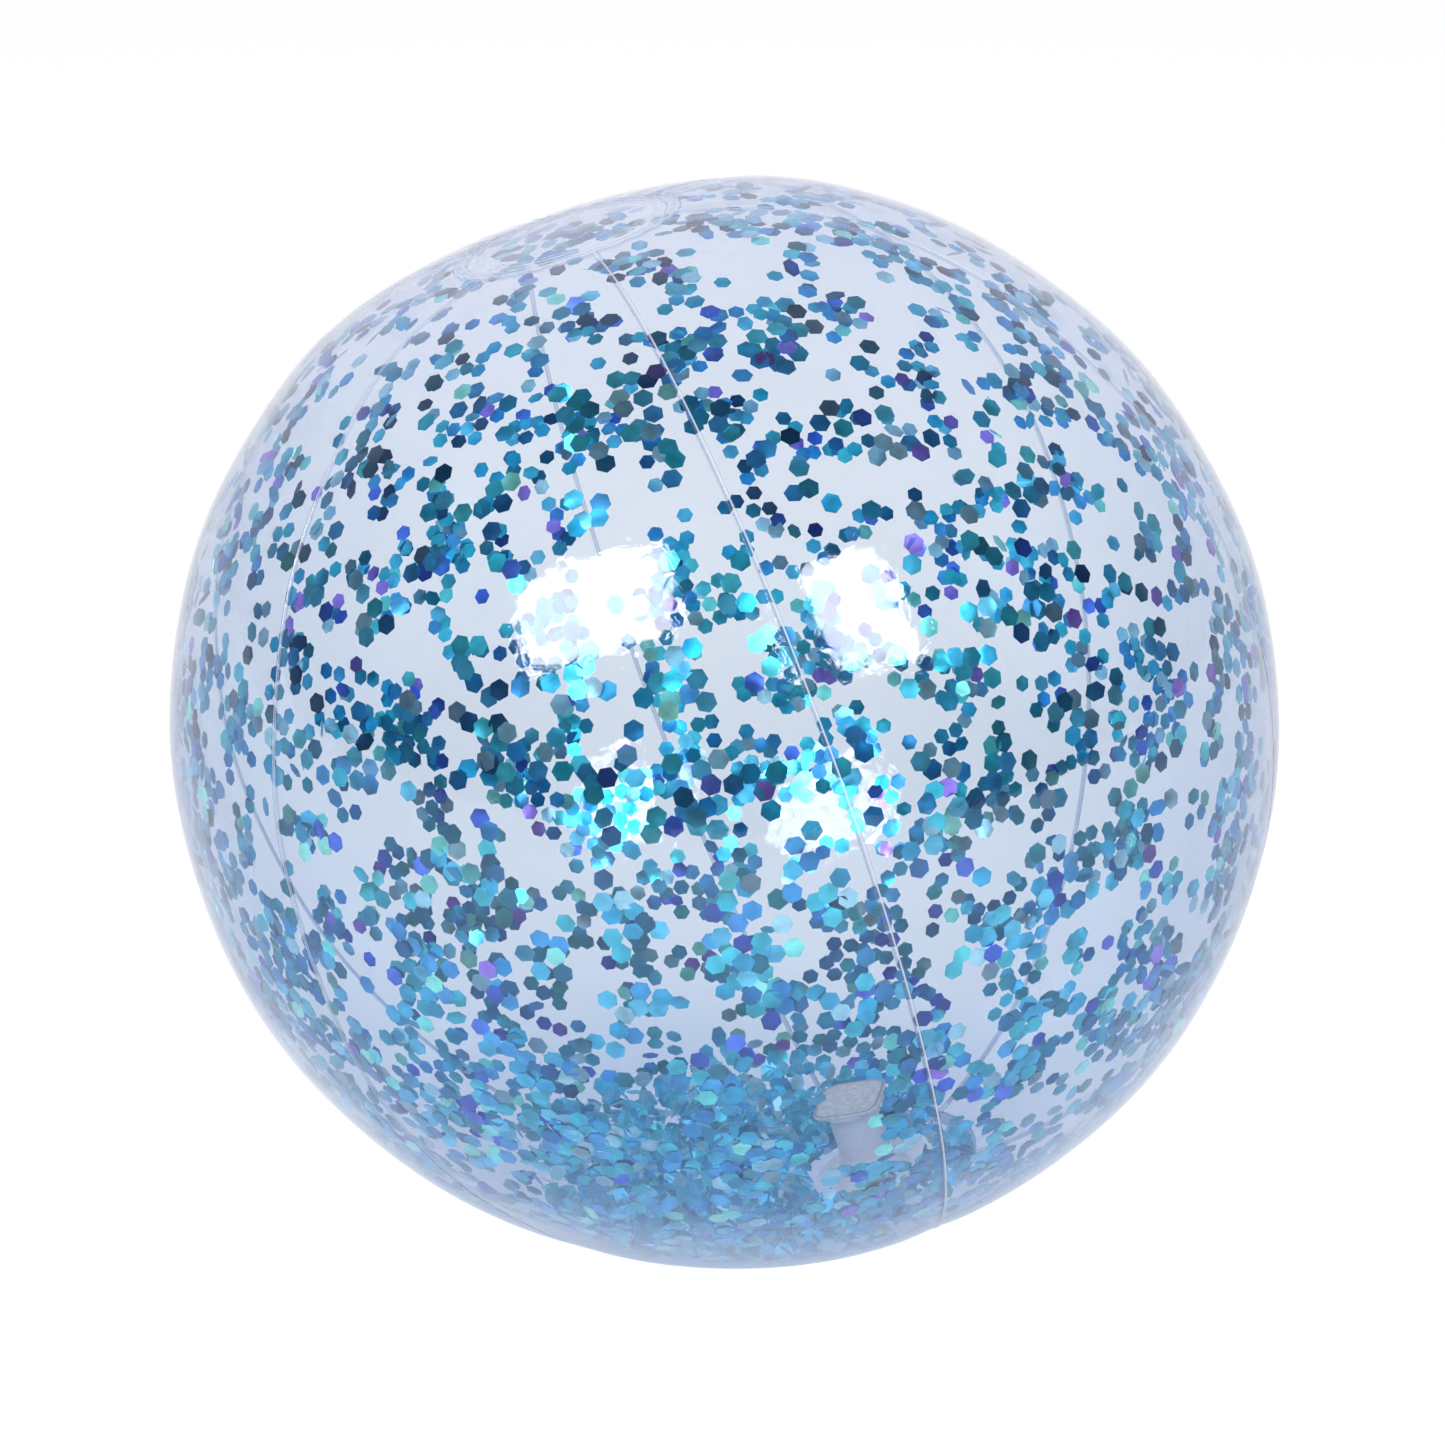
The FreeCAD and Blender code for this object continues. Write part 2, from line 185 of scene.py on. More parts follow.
def end_arcs(pole, crown_radius, crown_reach):
    """Crown, shoulder and body of one end, each as (across, up, radius, last normal's turn)."""
    crown_end = math.asin(crown_reach / crown_radius)
    crown_up = pole - crown_radius
    up = crown_up + crown_radius * math.cos(crown_end)
    lean = crown_reach * math.sin(crown_end) + up * math.cos(crown_end)
    radius = (BALL_RADIUS**2 - crown_reach**2 - up**2) / (2 * (BALL_RADIUS - lean))
    shoulder_across = crown_reach - radius * math.sin(crown_end)
    shoulder_up = up - radius * math.cos(crown_end)
    shoulder_end = math.atan2(shoulder_across, shoulder_up)
    return (
        (0.0, crown_up, crown_radius, crown_end),
        (shoulder_across, shoulder_up, radius, shoulder_end),
        (0.0, 0.0, BALL_RADIUS, math.pi / 2),
    )


def half_meridian(arcs, side):
    """Three rows, from the pole to the equator: across, up, and the normal's turn from the top pole."""
    parts = []
    start = 0.0
    for across, up, radius, end in arcs:
        turn = np.linspace(start, end, ARC_STEPS)
        from_top = turn if side > 0 else math.pi - turn
        reach = across + radius * np.sin(turn)
        height = side * (up + radius * np.cos(turn))
        parts.append(np.stack([reach, height, from_top]))
        start = end
    return np.concatenate(parts, axis=1)


TOP_ARCS = end_arcs(TOP_POLE, TOP_CROWN_RADIUS, TOP_CROWN_REACH)
BOTTOM_ARCS = end_arcs(BOTTOM_POLE, BOTTOM_CROWN_RADIUS, BOTTOM_CROWN_REACH)
TOP_HALF = half_meridian(TOP_ARCS, 1)
BOTTOM_HALF = half_meridian(BOTTOM_ARCS, -1)[:, ::-1]
MERIDIAN = np.concatenate([TOP_HALF, BOTTOM_HALF], axis=1)
STEPS = np.hypot(np.diff(MERIDIAN[0]), np.diff(MERIDIAN[1]))
LENGTHS = np.concatenate([[0.0], np.cumsum(STEPS)])
POLAR = np.arctan2(MERIDIAN[0], MERIDIAN[1])
EQUATOR = LENGTHS[TOP_HALF.shape[1]]

LOWEST = max(BOTTOM_HALF[0] * math.sin(LEAN) - BOTTOM_HALF[1] * math.cos(LEAN))
CENTRE = np.array([0.0, 0.0, LOWEST - FLOOR_DENT])
STANCE = np.array(
    [
        [math.cos(LEAN), 0.0, -math.sin(LEAN)],
        [0.0, 1.0, 0.0],
        [math.sin(LEAN), 0.0, math.cos(LEAN)],
    ]
)


def length_at_reach(reach, side):
    """How far down the meridian the film is this far from the polar axis, above or below the equator."""
    middle = TOP_HALF.shape[1]
    if side > 0:
        return np.interp(reach, MERIDIAN[0, :middle], LENGTHS[:middle])
    return np.interp(-reach, -MERIDIAN[0, middle:], LENGTHS[middle:])


def smooth(value):
    """An S-curve from 0 to 1."""
    held = np.clip(value, 0.0, 1.0)
    return held * held * (3 - 2 * held)


def make_waves():
    """A direction, scaled to radians in a metre, and a phase for each long soft ripple in the film."""
    waves = []
    for _ in range(RIPPLES):
        direction = rng.normal(size=3)
        direction /= np.linalg.norm(direction)
        wavelength = rng.uniform(*RIPPLE_LENGTHS) * MM
        waves.append((direction * 2 * math.pi / wavelength, rng.uniform(0, 2 * math.pi)))
    return waves


WAVES = make_waves()


def slack(length, azimuth):
    """How far the film stands outside its plain shape."""
    across, up, _ = (np.interp(length, LENGTHS, row) for row in MERIDIAN)
    place = np.stack([across * np.cos(azimuth), across * np.sin(azimuth), up + 0 * azimuth], axis=-1)
    total = sum(RIPPLE_HEIGHT * np.sin(place @ wave + phase) for wave, phase in WAVES)
    turn = np.degrees(azimuth) - FIRST_SEAM
    half_panel = PANEL_TURN / 2
    off_seam = np.abs((turn + half_panel) % PANEL_TURN - half_panel) * math.pi / 180 * across
    between_caps = smooth((across - CAP_RADIUS) / VALLEY_FADE)
    total = total - SEAM_VALLEY * np.exp(-((off_seam / SEAM_VALLEY_WIDTH) ** 2)) * between_caps
    off_rim = np.abs(across - CAP_RADIUS)
    folds = np.sin(PUCKERS * azimuth + 2 * np.sin(3 * azimuth)) * np.exp(-off_rim / PUCKER_REACH * 2)
    total = total + PUCKER_HEIGHT * folds * smooth(across / CAP_RADIUS)
    outward = place @ STANCE.T / BALL_RADIUS
    total = total + DIAGONAL_SWELL * (2 * (outward @ DIAGONAL) ** 2 - 1)
    near_valve = smooth((across - FLANGE_RADIUS) / VALVE_FADE)
    return np.where(up > 0, total, total * near_valve)


def film_points(length, azimuth, depth):
    """World points on the film: length down the meridian, azimuth about the polar axis, depth inwards."""
    length, azimuth, depth = np.broadcast_arrays(length, azimuth, depth)
    across, up, turn = (np.interp(length, LENGTHS, row) for row in MERIDIAN)
    inwards = depth - slack(length, azimuth)
    out = across - inwards * np.sin(turn)
    high = up - inwards * np.cos(turn)
    place = np.stack([out * np.cos(azimuth), out * np.sin(azimuth), high], axis=-1)
    world = place @ STANCE.T + CENTRE
    world[..., 2] = np.maximum(world[..., 2], depth)
    return world


# ---------------------------------------------------------------- meshes


def make_object(name, points, faces, node_names, body, attributes=None, sharp=35):
    """A mesh piece that stands for CAD nodes and rides on a body."""
    mesh = bpy.data.meshes.new(name)
    mesh.from_pydata([tuple(p) for p in points], [], faces)
    for key, values in (attributes or {}).items():
        layer = mesh.attributes.new(key, "FLOAT", "POINT")
        layer.data.foreach_set("value", np.asarray(values, dtype=np.float32))
    mesh.polygons.foreach_set("use_smooth", [True] * len(mesh.polygons))
    mesh.set_sharp_from_angle(angle=math.radians(sharp))
    mesh.validate()
    piece = bpy.data.objects.new(name, mesh)
    bpy.context.scene.collection.objects.link(piece)
    if body:
        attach(piece, body)
    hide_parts(*node_names)
    return piece


class Patch:
    """Points, faces and the weld attribute of one film piece, gathered sheet by sheet."""

    def __init__(self):
        self.points = []
        self.faces = []
        self.weld = []

    def sheet(self, length, azimuth, outer, inner, weld, closed=False):
        """A closed slab of film over a grid; closed joins the last column to the first."""
        rows, columns = np.broadcast(length, azimuth).shape
        base = len(self.points)
        count = rows * columns
        weld = np.broadcast_to(weld, (rows, columns))
        for depth in (outer, inner):
            self.points.extend(film_points(length, azimuth, depth).reshape(-1, 3))
            self.weld.extend(weld.reshape(-1))
        spans = columns if closed else columns - 1
        for row in range(rows - 1):
            for column in range(spans):
                after = (column + 1) % columns
                a = base + row * columns + column
                b = base + row * columns + after
                c = base + (row + 1) * columns + after
                d = base + (row + 1) * columns + column
                self.faces.append((a, d, c, b))
                self.faces.append((a + count, b + count, c + count, d + count))
        for row, turned in ((0, False), (rows - 1, True)):
            for column in range(spans):
                a = base + row * columns + column
                b = base + row * columns + (column + 1) % columns
                face = (a, b, b + count, a + count)
                self.faces.append(face[::-1] if turned else face)
        if not closed:
            for column, turned in ((0, True), (columns - 1, False)):
                for row in range(rows - 1):
                    a = base + row * columns + column
                    b = base + (row + 1) * columns + column
                    face = (a, b, b + count, a + count)
                    self.faces.append(face[::-1] if turned else face)


def ridge(offset, middle, width):
    """How strong a weld line is at this offset: 1 along its middle, 0 outside its width."""
    return np.clip(1.4 * (1 - np.abs(offset - middle) / (width / 2)), 0.0, 1.0)


def film_panel(index):
    """One gore: its face, the lap under the next gore, and the laps under the two caps."""
    start = math.radians(FIRST_SEAM + PANEL_TURN * index)
    sweep = math.radians(PANEL_TURN)
    rows = np.linspace(length_at_reach(CAP_RADIUS, 1), length_at_reach(CAP_RADIUS, -1), PANEL_ROWS)
    rows[0] += HAIR_GAP
    rows[-1] -= HAIR_GAP
    across = np.interp(rows, LENGTHS, MERIDIAN[0])[:, None]
    spread = np.linspace(0, 1, PANEL_COLUMNS + 2)[1:-1]
    shares = np.concatenate([0 * SEAM_COLUMNS, spread, [1.0]])
    offsets = np.concatenate([SEAM_COLUMNS, 0 * spread, [-HAIR_GAP]])
    azimuth = start + sweep * shares + offsets / across
    on_ridge = np.concatenate([ridge(SEAM_COLUMNS, SEAM_RIDGE_AT, SEAM_RIDGE_WIDTH), 0 * spread, [0.0]])
    grey = np.concatenate([ridge(SEAM_COLUMNS, SEAM_GREY_AT, SEAM_GREY_WIDTH), 0 * spread, [0.0]])
    patch = Patch()
    patch.sheet(rows[:, None], azimuth, -WELD_RIDGE * on_ridge, FILM, on_ridge - grey)

    lip_offsets = np.array([-LAP_ROOT, LAP / 2, LAP])
    lip_azimuth = start + sweep + lip_offsets / across
    patch.sheet(rows[1:-1, None], lip_azimuth[1:-1], FILM + HAIR_GAP, 2 * FILM, 0.0)
    for side in (1, -1):
        reaches = np.linspace(CAP_RADIUS - CAP_LAP, CAP_RADIUS + LAP_ROOT, LAP_RINGS)
        ring_rows = length_at_reach(reaches, side)[::side]
        ring_azimuth = np.linspace(start + LAP_END, start + sweep - LAP_END, LAP_COLUMNS)
        patch.sheet(ring_rows[:, None], ring_azimuth[None, :], FILM + HAIR_GAP, 2 * FILM, 0.0)
    return make_object(
        f"film_panel_{index + 1}",
        patch.points,
        patch.faces,
        [f"panel_{index + 1}"],
        "ball",
        {"weld": patch.weld},
    )


def film_cap(name, cad_node, side, inner_reach):
    """A round disc of film with weld lines near its rim."""
    coarse = np.linspace(inner_reach, CLEAN_BAND[0], CAP_COARSE_RINGS)
    reaches = np.concatenate([coarse, CAP_FINE_RINGS, [CAP_RADIUS]])
    ridges = [ridge(reaches, middle, width) for middle, width in CAP_RIDGES]
    greys = [ridge(reaches, middle, width) for middle, width in CAP_GREY_LINES]
    on_ridge = np.max(ridges, axis=0)[::side][:, None]
    grey = np.max(greys, axis=0)[::side][:, None]
    rows = length_at_reach(reaches, side)[::side][:, None]
    azimuth = np.linspace(0, 2 * math.pi, CAP_COLUMNS + 1)[:-1][None, :]
    patch = Patch()
    band = CAP_HAZE * smooth((reaches - CLEAN_BAND[0]) / CAP_HAZE_FADE)[::side][:, None]
    weld = np.maximum(on_ridge, band) - grey
    patch.sheet(rows, azimuth, -WELD_RIDGE * on_ridge, FILM, weld, closed=True)
    return make_object(name, patch.points, patch.faces, [cad_node], "ball", {"weld": patch.weld})


# ---------------------------------------------------------------- confetti


def grow_clump(count):
    """Places on a flat sheet for a clump of flakes that touch: each grows from one already there."""
    places = [(0.0, 0.0)]
    for _ in range(TRIES_PER_FLAKE * count):
        if len(places) >= count:
            break
        parent = places[rng.integers(len(places))]
        heading = rng.uniform(0, 2 * math.pi)
        stride = rng.uniform(*CLUMP_STRIDE) * FLAKE_FLATS
        place = (parent[0] + stride * math.cos(heading), parent[1] + stride * math.sin(heading))
        nearest = min(math.hypot(place[0] - x, place[1] - y) for x, y in places)
        if nearest > CLUMP_GAP * FLAKE_FLATS:
            places.append(place)
    return places


def scatter_clumps():
    """Clumps of flakes stuck to the inside of the film: length, azimuth and depth for each flake."""
    flakes = []
    golden = math.pi * (3 - math.sqrt(5))
    for index in range(CLUMPS):
        up = 1 - 2 * (index + 0.5) / CLUMPS
        polar = abs(math.acos(up) + rng.normal(0, CLUMP_SCATTER))
        azimuth = index * golden + rng.normal(0, CLUMP_SCATTER) / max(0.2, math.sin(polar))
        length = float(np.interp(polar, POLAR, LENGTHS))
        height = film_points(length, azimuth, 0.0)[2]
        mean_count = np.interp(height, CLUMP_HEIGHTS, CLUMP_SIZES)
        count = 1 + int(rng.exponential(mean_count))
        across = max(float(np.interp(length, LENGTHS, MERIDIAN[0])), 8 * MM)
        for step, (down, aside) in enumerate(grow_clump(min(count, LARGEST_CLUMP))):
            depth = FLAKE_DEPTH + LAYER_STEP * (step % LAYERS)
            flakes.append((abs(length + down), azimuth + aside / across, depth))
    return np.array(flakes)


def pile_middle():
    """Where the heap lies, from the ball's centre."""
    low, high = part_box("glitter_pile")
    return Vector(((low.x + high.x) / 2, (low.y + high.y) / 2, low.z - CENTRE[2]))


def keep_clear(flakes):
    """Drops the flakes on the caps' welded bands, at the valve, in the bare patch and under the heap."""
    across = np.interp(flakes[:, 0], LENGTHS, MERIDIAN[0])
    place = film_points(*flakes.T) - CENTRE
    in_patch = np.linalg.norm(place - BARE_PATCH, axis=1) < BARE_REACH
    in_patch &= rng.uniform(0, 1, len(flakes)) < BARE_SHARE
    on_band = (across > CLEAN_BAND[0]) & (across < CLEAN_BAND[1])
    at_valve = (flakes[:, 0] > EQUATOR) & (across < FLANGE_RADIUS + VALVE_MARGIN)
    towards_pile = place @ np.array(pile_middle().normalized()) / np.linalg.norm(place, axis=1)
    under_pile = towards_pile > math.cos(PILE_COVERS)
    return flakes[~(on_band | at_valve | in_patch | under_pile)]


def heap(middle, count, spread, depth):
    """A mound of flakes on the inside of the film, round a point given from the ball's centre."""
    down = Vector(middle).normalized()
    side = Vector((1, 0, 0)).cross(down).normalized()
    other = down.cross(side)
    flakes = []
    for _ in range(count):
        reach = spread * math.sqrt(rng.uniform(0, 1)) * rng.uniform(*HEAP_RAGGED)
        heading = rng.uniform(0, 2 * math.pi)
        flat = side * math.cos(heading) + other * math.sin(heading)
        direction = np.array(down * math.cos(reach) + flat * math.sin(reach))
        in_ball = STANCE.T @ direction
        polar = math.acos(in_ball[2] / np.linalg.norm(in_ball))
        azimuth = math.atan2(in_ball[1], in_ball[0])
        mound = depth * (1 - (reach / spread) ** 2)
        inwards = FLAKE_DEPTH + rng.uniform(0, 1) * max(HEAP_RIM, mound)
        flakes.append((np.interp(polar, POLAR, LENGTHS), azimuth, inwards))
    return flakes


def pile_flakes():
    """The loose heap in the bottom of the ball, and a small one that the valve holds back."""
    pile = heap(pile_middle(), PILE_FLAKES, PILE_SPREAD, PILE_DEPTH)
    flakes = np.array(pile + heap(**SIDE_HEAP))
    across = np.interp(flakes[:, 0], LENGTHS, MERIDIAN[0])
    return flakes[across > FLANGE_RADIUS + PILE_VALVE_MARGIN]


def surface_frames(flakes):
    """Centre, outward normal and a tangent for each flake."""
    length, azimuth, depth = flakes.T
    across = np.maximum(np.interp(length, LENGTHS, MERIDIAN[0]), 1 * MM)
    reach = 0.8 * MM
    aside = reach / across
    centre = film_points(length, azimuth, depth)
    down = film_points(length + reach, azimuth, depth) - film_points(length - reach, azimuth, depth)
    turn = film_points(length, azimuth + aside, depth) - film_points(length, azimuth - aside, depth)
    outward = np.cross(down, turn)
    outward /= np.linalg.norm(outward, axis=1)[:, None]
    down /= np.linalg.norm(down, axis=1)[:, None]
    return centre, outward, down


def tilt_flakes(centre, outward, along, tilt):
    """Turns each flake about its own normal at random and leans it by tilt; leaning moves it inwards."""
    count = len(centre)
    spin = rng.uniform(0, 2 * math.pi, count)[:, None]
    across = np.cross(outward, along)
    first = along * np.cos(spin) + across * np.sin(spin)
    second = np.cross(outward, first)
    lean = tilt[:, None]
    normal = outward * np.cos(lean) + first * np.sin(lean)
    first = np.cross(second, normal)
    moved = centre - outward * np.abs(np.sin(lean)) * FLAKE_FLATS * LEAN_ROOM
    roll = rng.uniform(0, 2 * math.pi, count)[:, None]
    u = first * np.cos(roll) + second * np.sin(roll)
    v = np.cross(normal, u)
    return moved, normal, u, v


def flake_points(centre, normal, u, v):
    """Both sides of each flake in turn: a middle, raised or sunk at random, and six corners."""
    dish = rng.normal(0, FLAKE_DISH, len(centre))[:, None]
    corner_radius = FLAKE_FLATS / math.sqrt(3)
    half = normal * FLAKE_THICKNESS / 2
    parts = []
    for side in (1, -1):
        parts.append(centre + side * half + normal * dish)
        for corner in range(6):
            angle = corner * math.pi / 3
            parts.append(centre + side * half + corner_radius * (u * math.cos(angle) + v * math.sin(angle)))
    return np.stack(parts, axis=1).reshape(-1, 3)


def flake_faces(count):
    """Two fans of six triangles and the rim between them, for each flake."""
    other_side = FLAKE_POINTS // 2
    pattern = []
    for corner in range(6):
        here = 1 + corner
        after = 1 + (corner + 1) % 6
        pattern.append((0, here, after))
        pattern.append((other_side, other_side + after, other_side + here))
        pattern.append((here, other_side + here, other_side + after, after))
    faces = []
    for index in range(count):
        faces.extend(tuple(FLAKE_POINTS * index + point for point in face) for face in pattern)
    return faces


def confetti(name, cad_node, flakes, tilt, tones=(0, 1), glints=(0, 1)):
    """One mesh of dished hexagonal flakes with a tone and a glint number on each."""
    centre, outward, along = surface_frames(flakes)
    centre, normal, u, v = tilt_flakes(centre, outward, along, tilt)
    points = flake_points(centre, normal, u, v)
    faces = flake_faces(len(flakes))
    tone = np.repeat(rng.uniform(*tones, len(flakes)), FLAKE_POINTS)
    # Painted light: near the table every flake keeps a high glint, as if it mirrored the white table.
    least = np.interp(centre[:, 2], LOW_GLINT_HEIGHTS, (LOW_GLINT, glints[0]))
    glint = np.repeat(rng.uniform(least, glints[1]), FLAKE_POINTS)
    shades = {"tone": tone, "glint": glint}
    piece = make_object(name, points, faces, [cad_node], "ball", shades, sharp=30)
    # Foil sends on most of the light that it stops, so it takes none from what is inside the ball.
    piece.visible_shadow = False
    piece.visible_diffuse = False
    return piece


def all_confetti():
    """Flakes split by the panel or cap they lie on, and the heap."""
    flakes = keep_clear(scatter_clumps())
    across = np.interp(flakes[:, 0], LENGTHS, MERIDIAN[0])
    on_cap = (flakes[:, 0] < EQUATOR) & (across < CAP_RADIUS)
    gore = ((np.degrees(flakes[:, 1]) - FIRST_SEAM) // PANEL_TURN % PANELS).astype(int)
    groups = {"confetti_top_cap": ("glitter_top_cap", flakes[on_cap])}
    for index in range(PANELS):
        chosen = flakes[~on_cap & (gore == index)]
        groups[f"confetti_panel_{index + 1}"] = (f"glitter_panel_{index + 1}", chosen)
    made = []
    for name, (cad_node, chosen) in groups.items():
        tilt = np.radians(np.abs(rng.normal(0, LIE, len(chosen))))
        loose = rng.uniform(0, 1, len(chosen)) < LOOSE_SHARE
        tilt = np.where(loose, tilt * LOOSE_LEAN, tilt)
        made.append(confetti(name, cad_node, chosen, tilt))
    pile = pile_flakes()
    tilt = np.radians(rng.uniform(*PILE_LEAN, len(pile)))
    made.append(confetti("confetti_pile", "glitter_pile", pile, tilt, PILE_TONES, PILE_GLINTS))
    return made


# ---------------------------------------------------------------- materials

WHITE = (1, 1, 1, 1)


def srgb(red, green, blue):
    """A colour given in 0 to 255 as the eye sees it, for a shader."""
    channels = []
    for value in (red, green, blue):
        share = value / 255
        channels.append(share / 12.92 if share <= 0.04045 else ((share + 0.055) / 1.055) ** 2.4)
    return (*channels, 1.0)


def new_material(name):
    """An empty node material with its output."""
    material = bpy.data.materials.new(name)
    material.use_nodes = True
    tree = material.node_tree
    tree.nodes.clear()
    output = tree.nodes.new("ShaderNodeOutputMaterial")
    return material, tree, output


def node(tree, kind, settings=None, **inputs):
    """A node with its settings and its inputs, by name or as _ and a number; each a value or a link."""
    made = tree.nodes.new(kind)
    for key, value in (settings or {}).items():
        setattr(made, key, value)
    for key, value in inputs.items():
        socket = made.inputs[int(key[1:])] if key[0] == "_" else made.inputs[key.replace("_", " ")]
        if isinstance(value, bpy.types.NodeSocket):
            tree.links.new(value, socket)
        else:
            socket.default_value = value
    return made


def noise(tree, scale, detail=2.0, distortion=0.0):
    """Noise in object space; scale is how many grains there are in a metre."""
    place = node(tree, "ShaderNodeTexCoord").outputs["Object"]
    return node(
        tree, "ShaderNodeTexNoise", Vector=place, Scale=scale, Detail=detail, Distortion=distortion
    ).outputs["Fac"]


def ramp(tree, share, stops):
    """A colour that runs through the stops, each a position from 0 to 1 and a colour."""
    made = node(tree, "ShaderNodeValToRGB", Fac=share)
    elements = made.color_ramp.elements
    while len(elements) < len(stops):
        elements.new(1.0)
    for element, (position, colour) in zip(elements, stops):
        element.position = position
        element.color = colour
    return made.outputs["Color"]


def place_part(tree, axis):
    """One part of a point's place in the room at rest; Z is its height above the table."""
    place = node(tree, "ShaderNodeTexCoord").outputs["Object"]
    return node(tree, "ShaderNodeSeparateXYZ", Vector=place).outputs[axis]


def remap(tree, value, low, high, start=0.0, end=1.0):
    """Start where the value is low, end where it is high, and the run between."""
    return node(
        tree, "ShaderNodeMapRange", Value=value, From_Min=low, From_Max=high, To_Min=start, To_Max=end
    ).outputs["Result"]


def calculate(tree, operation, *values):
    """The result of one sum."""
    inputs = {f"_{index}": value for index, value in enumerate(values)}
    return node(tree, "ShaderNodeMath", {"operation": operation}, **inputs).outputs[0]


def blend_colours(tree, kind, share, first, second):
    """Two colours mixed or multiplied."""
    return node(
        tree, "ShaderNodeMix", {"data_type": "RGBA", "blend_type": kind}, _0=share, _6=first, _7=second
    ).outputs[2]


def mix_shaders(tree, share, first, second):
    """The first surface, giving way to the second by share."""
    return node(tree, "ShaderNodeMixShader", _0=share, _1=first, _2=second).outputs[0]


def attribute(tree, name):
    """A number kept on the mesh's points."""
    return node(tree, "ShaderNodeAttribute", {"attribute_name": name}).outputs["Fac"]


def seen_aslant(tree):
    """0 where the surface faces the eye, 1 where it turns edge on."""
    return node(tree, "ShaderNodeLayerWeight", Blend=0.5).outputs["Facing"]


# Painted shade: the film's own lavender tint is deepened towards the table, standing in for the shaded table
# under the ball seen through it.
FILM_TINT_HEIGHTS = (0.04, 0.25)  # metres above the table, where the tints start and end
FILM_TINTS = (
    (0.00, (0.845, 0.880, 0.927, 1)),
    (0.42, (0.866, 0.898, 0.934, 1)),
    (1.00, (0.958, 0.972, 0.989, 1)),
)
# Painted shade on the film's mirrored light: darker and bluer near the table.
GLOSS_TINT_HEIGHTS = (0.0, 0.24)
GLOSS_TINTS = (
    (0.00, (0.30, 0.36, 0.43, 1)),
    (0.10, (0.70, 0.76, 0.83, 1)),
    (0.25, (0.88, 0.89, 0.92, 1)),
    (0.55, (0.87, 0.86, 0.89, 1)),
    (1.00, (1.0, 1.0, 1.0, 1)),
)
EDGE_TINT = (0.90, 0.92, 0.96, 1)
MIRRORED_EDGE_ON = 0.8
MIRRORED_FACE_ON = 0.028
HAZE_HEIGHTS = (0.028, 0.002)
HAZE = 0.28
HAZE_COLOUR = (0.50, 0.64, 0.84, 1)
WELD_GREY = 0.22
WELD_GREY_COLOUR = (0.24, 0.25, 0.36, 1)
WELD_WHITE = 0.62
WELD_WHITE_COLOUR = (0.93, 0.94, 0.97, 1)


def clear_film(tree):
    """Light that goes through: deeper blue low down as painted shade, a little deeper aslant."""
    cloud = calculate(tree, "MULTIPLY_ADD", noise(tree, 12, 3), 0.06, place_part(tree, "Z"))
    tint = ramp(tree, remap(tree, cloud, *FILM_TINT_HEIGHTS), FILM_TINTS)
    aslant = blend_colours(tree, "MIX", seen_aslant(tree), WHITE, EDGE_TINT)
    passed = blend_colours(tree, "MULTIPLY", 1.0, tint, aslant)
    return node(tree, "ShaderNodeBsdfTransparent", Color=passed).outputs[0]


def film_gloss(tree):
    """The mirrored light: faint ripples in front, crumpled facets behind, and painted shade that makes it
    duller near the table.
    """
    place = node(tree, "ShaderNodeTexCoord").outputs["Object"]
    facets = node(tree, "ShaderNodeTexVoronoi", Vector=place, Scale=210).outputs["Distance"]
    crumple = remap(tree, place_part(tree, "Y"), 0.0, 0.06, 0.0, 1.5)
    grain = calculate(tree, "MULTIPLY_ADD", facets, crumple, noise(tree, 190, 3, 0.8))
    fine = node(tree, "ShaderNodeBump", Strength=0.3, Distance=0.0003, Height=grain).outputs["Normal"]
    broad = noise(tree, 60, 2)
    soft = node(tree, "ShaderNodeBump", Strength=0.35, Distance=0.0003, Height=broad, Normal=fine)
    tint = ramp(tree, remap(tree, place_part(tree, "Z"), *GLOSS_TINT_HEIGHTS), GLOSS_TINTS)
    return node(
        tree, "ShaderNodeBsdfAnisotropic", Color=tint, Roughness=0.06, Normal=soft.outputs["Normal"]
    ).outputs[0]


def frosted(tree, colour, through):
    """Matt surface that glows with the light behind it."""
    lit = node(tree, "ShaderNodeBsdfDiffuse", Color=colour).outputs[0]
    glow = node(tree, "ShaderNodeBsdfTranslucent", Color=colour).outputs[0]
    return mix_shaders(tree, through, lit, glow)


def film_material():
    """Clear tinted film, mirrored aslant, hazy where it rests, with frosted welds and grey lines by them."""
    material, tree, output = new_material("clear_film")
    steep = calculate(tree, "POWER", seen_aslant(tree), 5.0)
    mirrored = calculate(tree, "MULTIPLY_ADD", steep, MIRRORED_EDGE_ON, MIRRORED_FACE_ON)
    film = mix_shaders(tree, mirrored, clear_film(tree), film_gloss(tree))
    haze = remap(tree, place_part(tree, "Z"), *HAZE_HEIGHTS, 0.0, HAZE)
    film = mix_shaders(tree, haze, film, frosted(tree, HAZE_COLOUR, 0.5))
    weld = attribute(tree, "weld")
    dull = node(tree, "ShaderNodeBsdfDiffuse", Color=WELD_GREY_COLOUR).outputs[0]
    film = mix_shaders(tree, remap(tree, weld, 0.0, -1.0, 0.0, WELD_GREY), film, dull)
    white = frosted(tree, WELD_WHITE_COLOUR, 0.45)
    film = mix_shaders(tree, remap(tree, weld, 0.0, 1.0, 0.0, WELD_WHITE), film, white)
    tree.links.new(film, output.inputs["Surface"])
    return material


